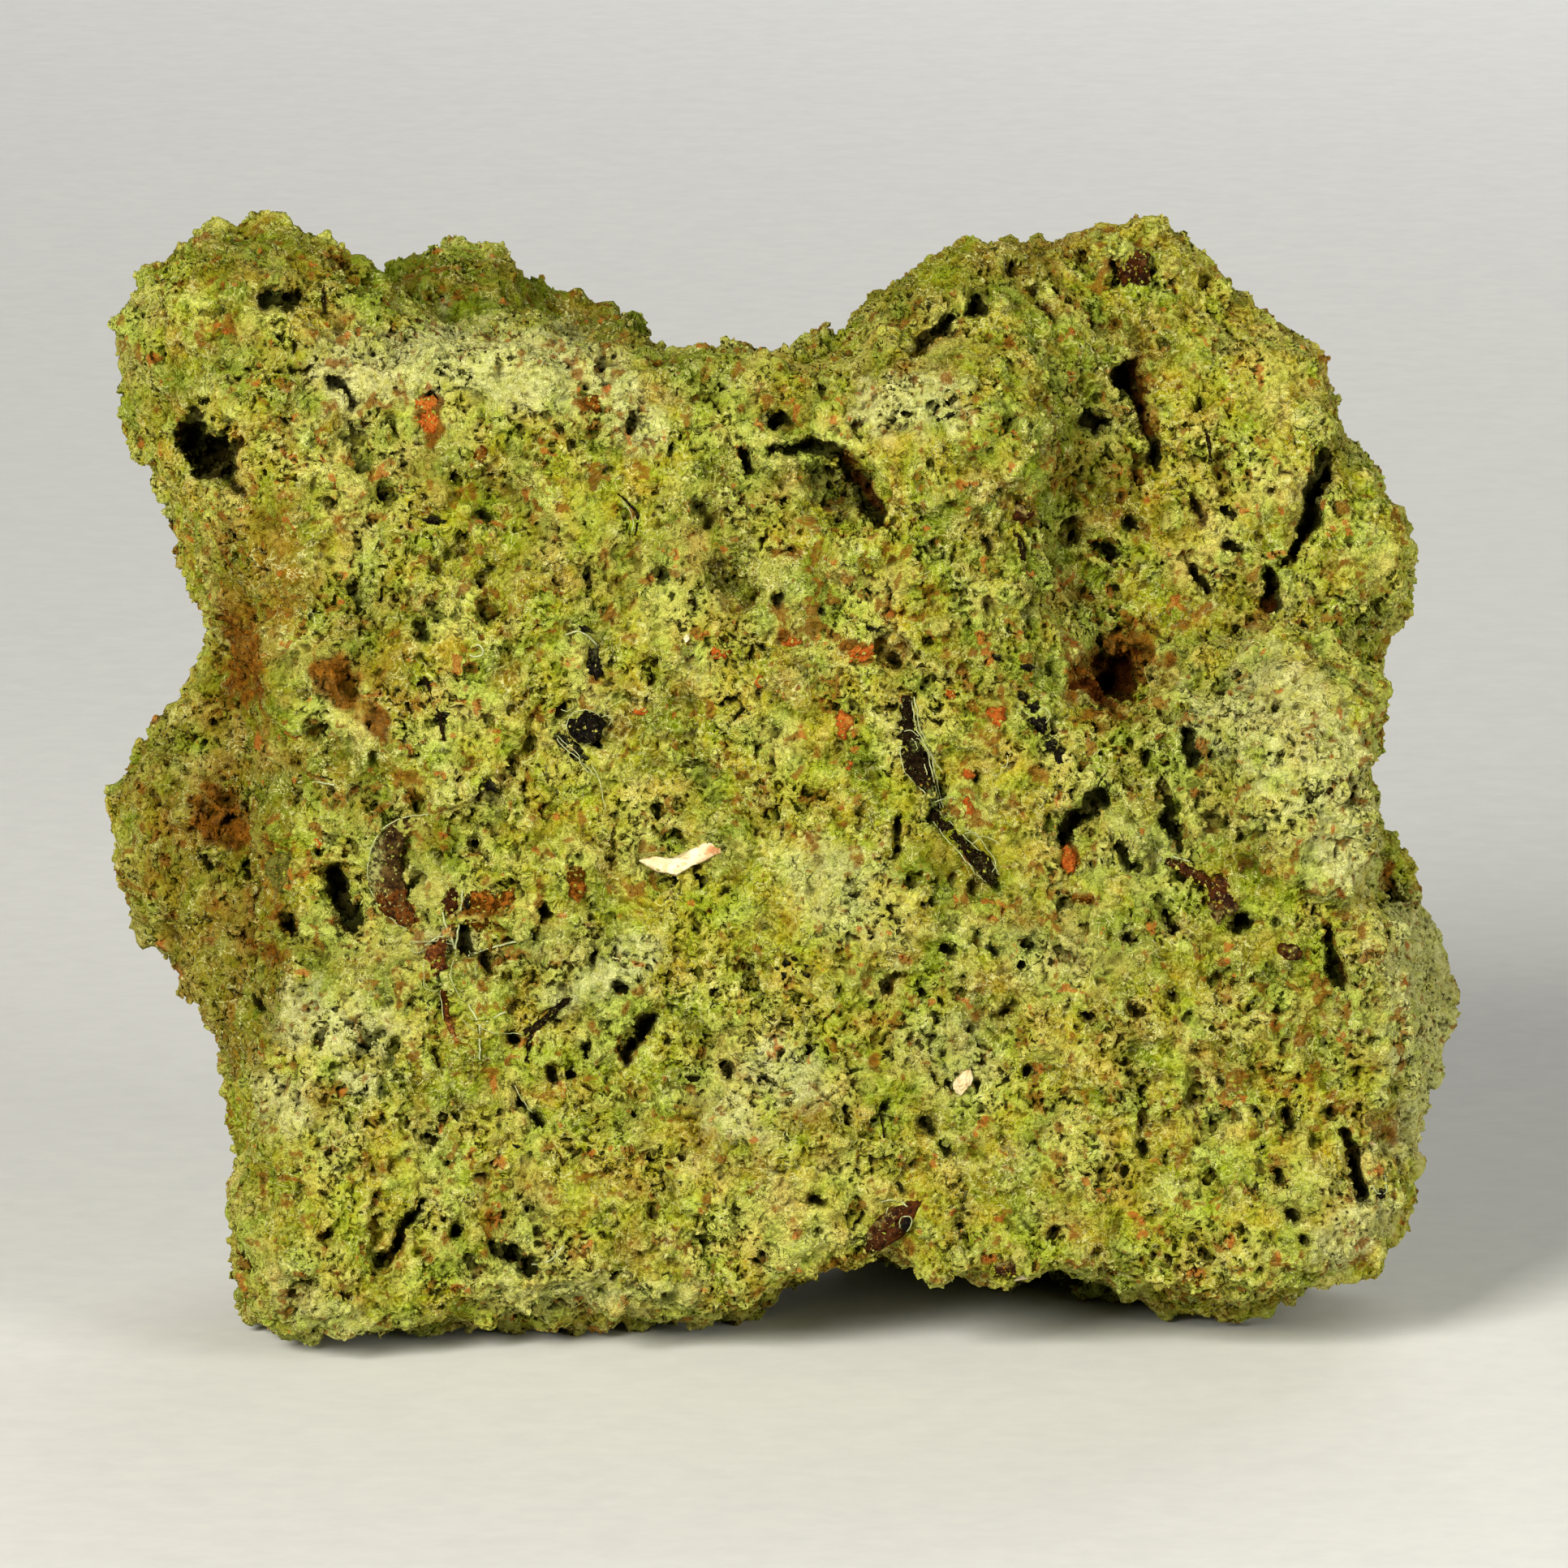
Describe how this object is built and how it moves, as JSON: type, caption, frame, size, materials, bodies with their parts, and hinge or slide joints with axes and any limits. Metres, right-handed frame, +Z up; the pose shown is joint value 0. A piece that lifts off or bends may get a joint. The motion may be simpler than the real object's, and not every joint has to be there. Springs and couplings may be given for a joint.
{
  "type": "nontronite specimen",
  "caption": "Porous lump of yellow-green nontronite clay with a broken front face, lobed edges, pits and lodged rootlets, husks and grains.",
  "frame": {"origin": "under the middle of the lump, on the surface that it rests on", "axes": "+Z up, +X along the longest side, -Y towards the broken front face"},
  "size_m": [0.0558, 0.0388, 0.0453],
  "materials": {
    "nontronite_clay": "matte",
    "pale_chip": "matte",
    "dark_grain": "satin",
    "olive_grain": "matte",
    "rust_grain": "matte",
    "rootlet": "satin",
    "husk": "satin"
  },
  "bodies": {
    "root": {"nontronite_mass": "nontronite_clay", "cream_chip": "pale_chip", "cream_grain": "pale_chip", "black_grain": "dark_grain", "grey_green_grain": "olive_grain", "rust_grain": "rust_grain", "brown_lump": "husk", "brown_bit": "husk", "seed_husk": "husk", "husk_crescent": "husk", "root_upper": "rootlet", "root_lower": "rootlet", "rust_rootlet": "rootlet", "twig": "rootlet"}
  },
  "joints": []
}
